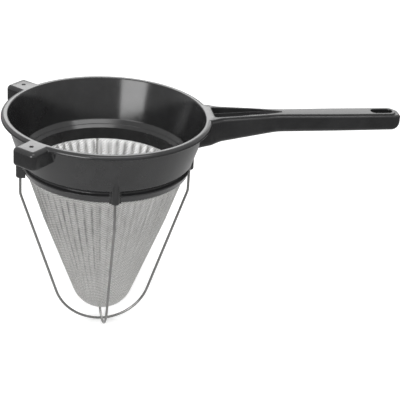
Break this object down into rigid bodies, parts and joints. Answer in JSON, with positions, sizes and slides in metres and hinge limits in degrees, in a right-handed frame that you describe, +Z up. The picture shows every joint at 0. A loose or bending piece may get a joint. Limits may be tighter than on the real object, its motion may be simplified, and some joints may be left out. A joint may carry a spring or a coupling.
{
  "type": "chinois strainer",
  "caption": "Conical strainer: a black moulded bowl with a long handle and pot lugs, a fine stainless cloth cone, and crossed guard wires around the cone.",
  "frame": {"origin": "centre of the rim's circle, on the rim's flat top", "axes": "+Z up out of the bowl along the cone's axis, +X along the handle towards its end"},
  "size_m": [0.3905, 0.2, 0.228],
  "materials": {
    "black_composite": "satin moulded, fibre-filled",
    "stainless_cloth": "fine woven cloth",
    "stainless_strip": "plain rolled",
    "stainless_wire": "drawn, lightly polished"
  },
  "bodies": {
    "root": {"bowl_and_handle": "black_composite", "retaining_ring": "black_composite", "mesh_cone": "stainless_cloth", "mesh_hem_band": "stainless_strip", "guard_wire_lengthwise": "stainless_wire", "guard_wire_crosswise": "stainless_wire"}
  },
  "joints": []
}
